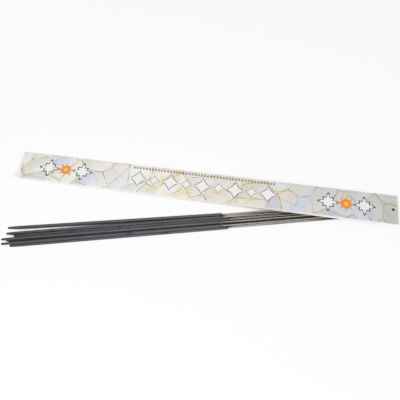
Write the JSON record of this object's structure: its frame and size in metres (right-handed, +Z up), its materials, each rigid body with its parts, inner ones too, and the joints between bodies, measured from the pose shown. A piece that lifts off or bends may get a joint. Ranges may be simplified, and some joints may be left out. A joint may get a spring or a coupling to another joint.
{
  "type": "sparkler set with packet",
  "caption": "Long hand sparklers, dark dipped coatings on bare steel wires, in a loose heap under the slim printed card packet with a hang hole that they come in.",
  "frame": {"origin": "middle of the set's footprint, on the surface that it lies on", "axes": "+X along the packet from its open mouth to its hang hole, +Z up, +Y across the packet away from the sparklers' coated ends"},
  "size_m": [0.75, 0.2098, 0.0192],
  "materials": {
    "steel_wire": "bright drawn wire",
    "composition": "matt dipped, fine grain",
    "printed_card": "satin print"
  },
  "bodies": {
    "packet": {"packet_front_panel": "printed_card", "packet_back_panel": "printed_card", "packet_near_side": "printed_card", "packet_far_side": "printed_card", "packet_end_panel": "printed_card", "packet_header": "printed_card"},
    "sparkler_1": {"sparkler_1_coating": "composition", "sparkler_1_wire": "steel_wire"},
    "sparkler_2": {"sparkler_2_coating": "composition", "sparkler_2_wire": "steel_wire"},
    "sparkler_3": {"sparkler_3_coating": "composition", "sparkler_3_wire": "steel_wire"},
    "sparkler_4": {"sparkler_4_coating": "composition", "sparkler_4_wire": "steel_wire"},
    "sparkler_5": {"sparkler_5_coating": "composition", "sparkler_5_wire": "steel_wire"},
    "sparkler_6": {"sparkler_6_coating": "composition", "sparkler_6_wire": "steel_wire"},
    "sparkler_7": {"sparkler_7_coating": "composition", "sparkler_7_wire": "steel_wire"},
    "sparkler_8": {"sparkler_8_coating": "composition", "sparkler_8_wire": "steel_wire"}
  },
  "joints": [
    {"name": "sparkler_1_draw", "type": "slide", "parent": "packet", "child": "sparkler_1", "axis": [-0.9747, -0.2236, 0], "range_m": [0, 0.7]},
    {"name": "sparkler_2_draw", "type": "slide", "parent": "packet", "child": "sparkler_2", "axis": [-0.9717, -0.2363, 0], "range_m": [0, 0.7]},
    {"name": "sparkler_3_draw", "type": "slide", "parent": "packet", "child": "sparkler_3", "axis": [-0.9715, -0.2372, 0], "range_m": [0, 0.7]},
    {"name": "sparkler_4_draw", "type": "slide", "parent": "packet", "child": "sparkler_4", "axis": [-0.9701, -0.2426, 0], "range_m": [0, 0.7]},
    {"name": "sparkler_5_draw", "type": "slide", "parent": "packet", "child": "sparkler_5", "axis": [-0.9701, -0.2426, 0], "range_m": [0, 0.7]},
    {"name": "sparkler_6_draw", "type": "slide", "parent": "packet", "child": "sparkler_6", "axis": [-0.9701, -0.2426, 0], "range_m": [0, 0.7]},
    {"name": "sparkler_7_draw", "type": "slide", "parent": "packet", "child": "sparkler_7", "axis": [-0.9711, -0.2385, 0], "range_m": [0, 0.7]},
    {"name": "sparkler_8_draw", "type": "slide", "parent": "packet", "child": "sparkler_8", "axis": [-0.9701, -0.2426, 0], "range_m": [0, 0.7]}
  ]
}
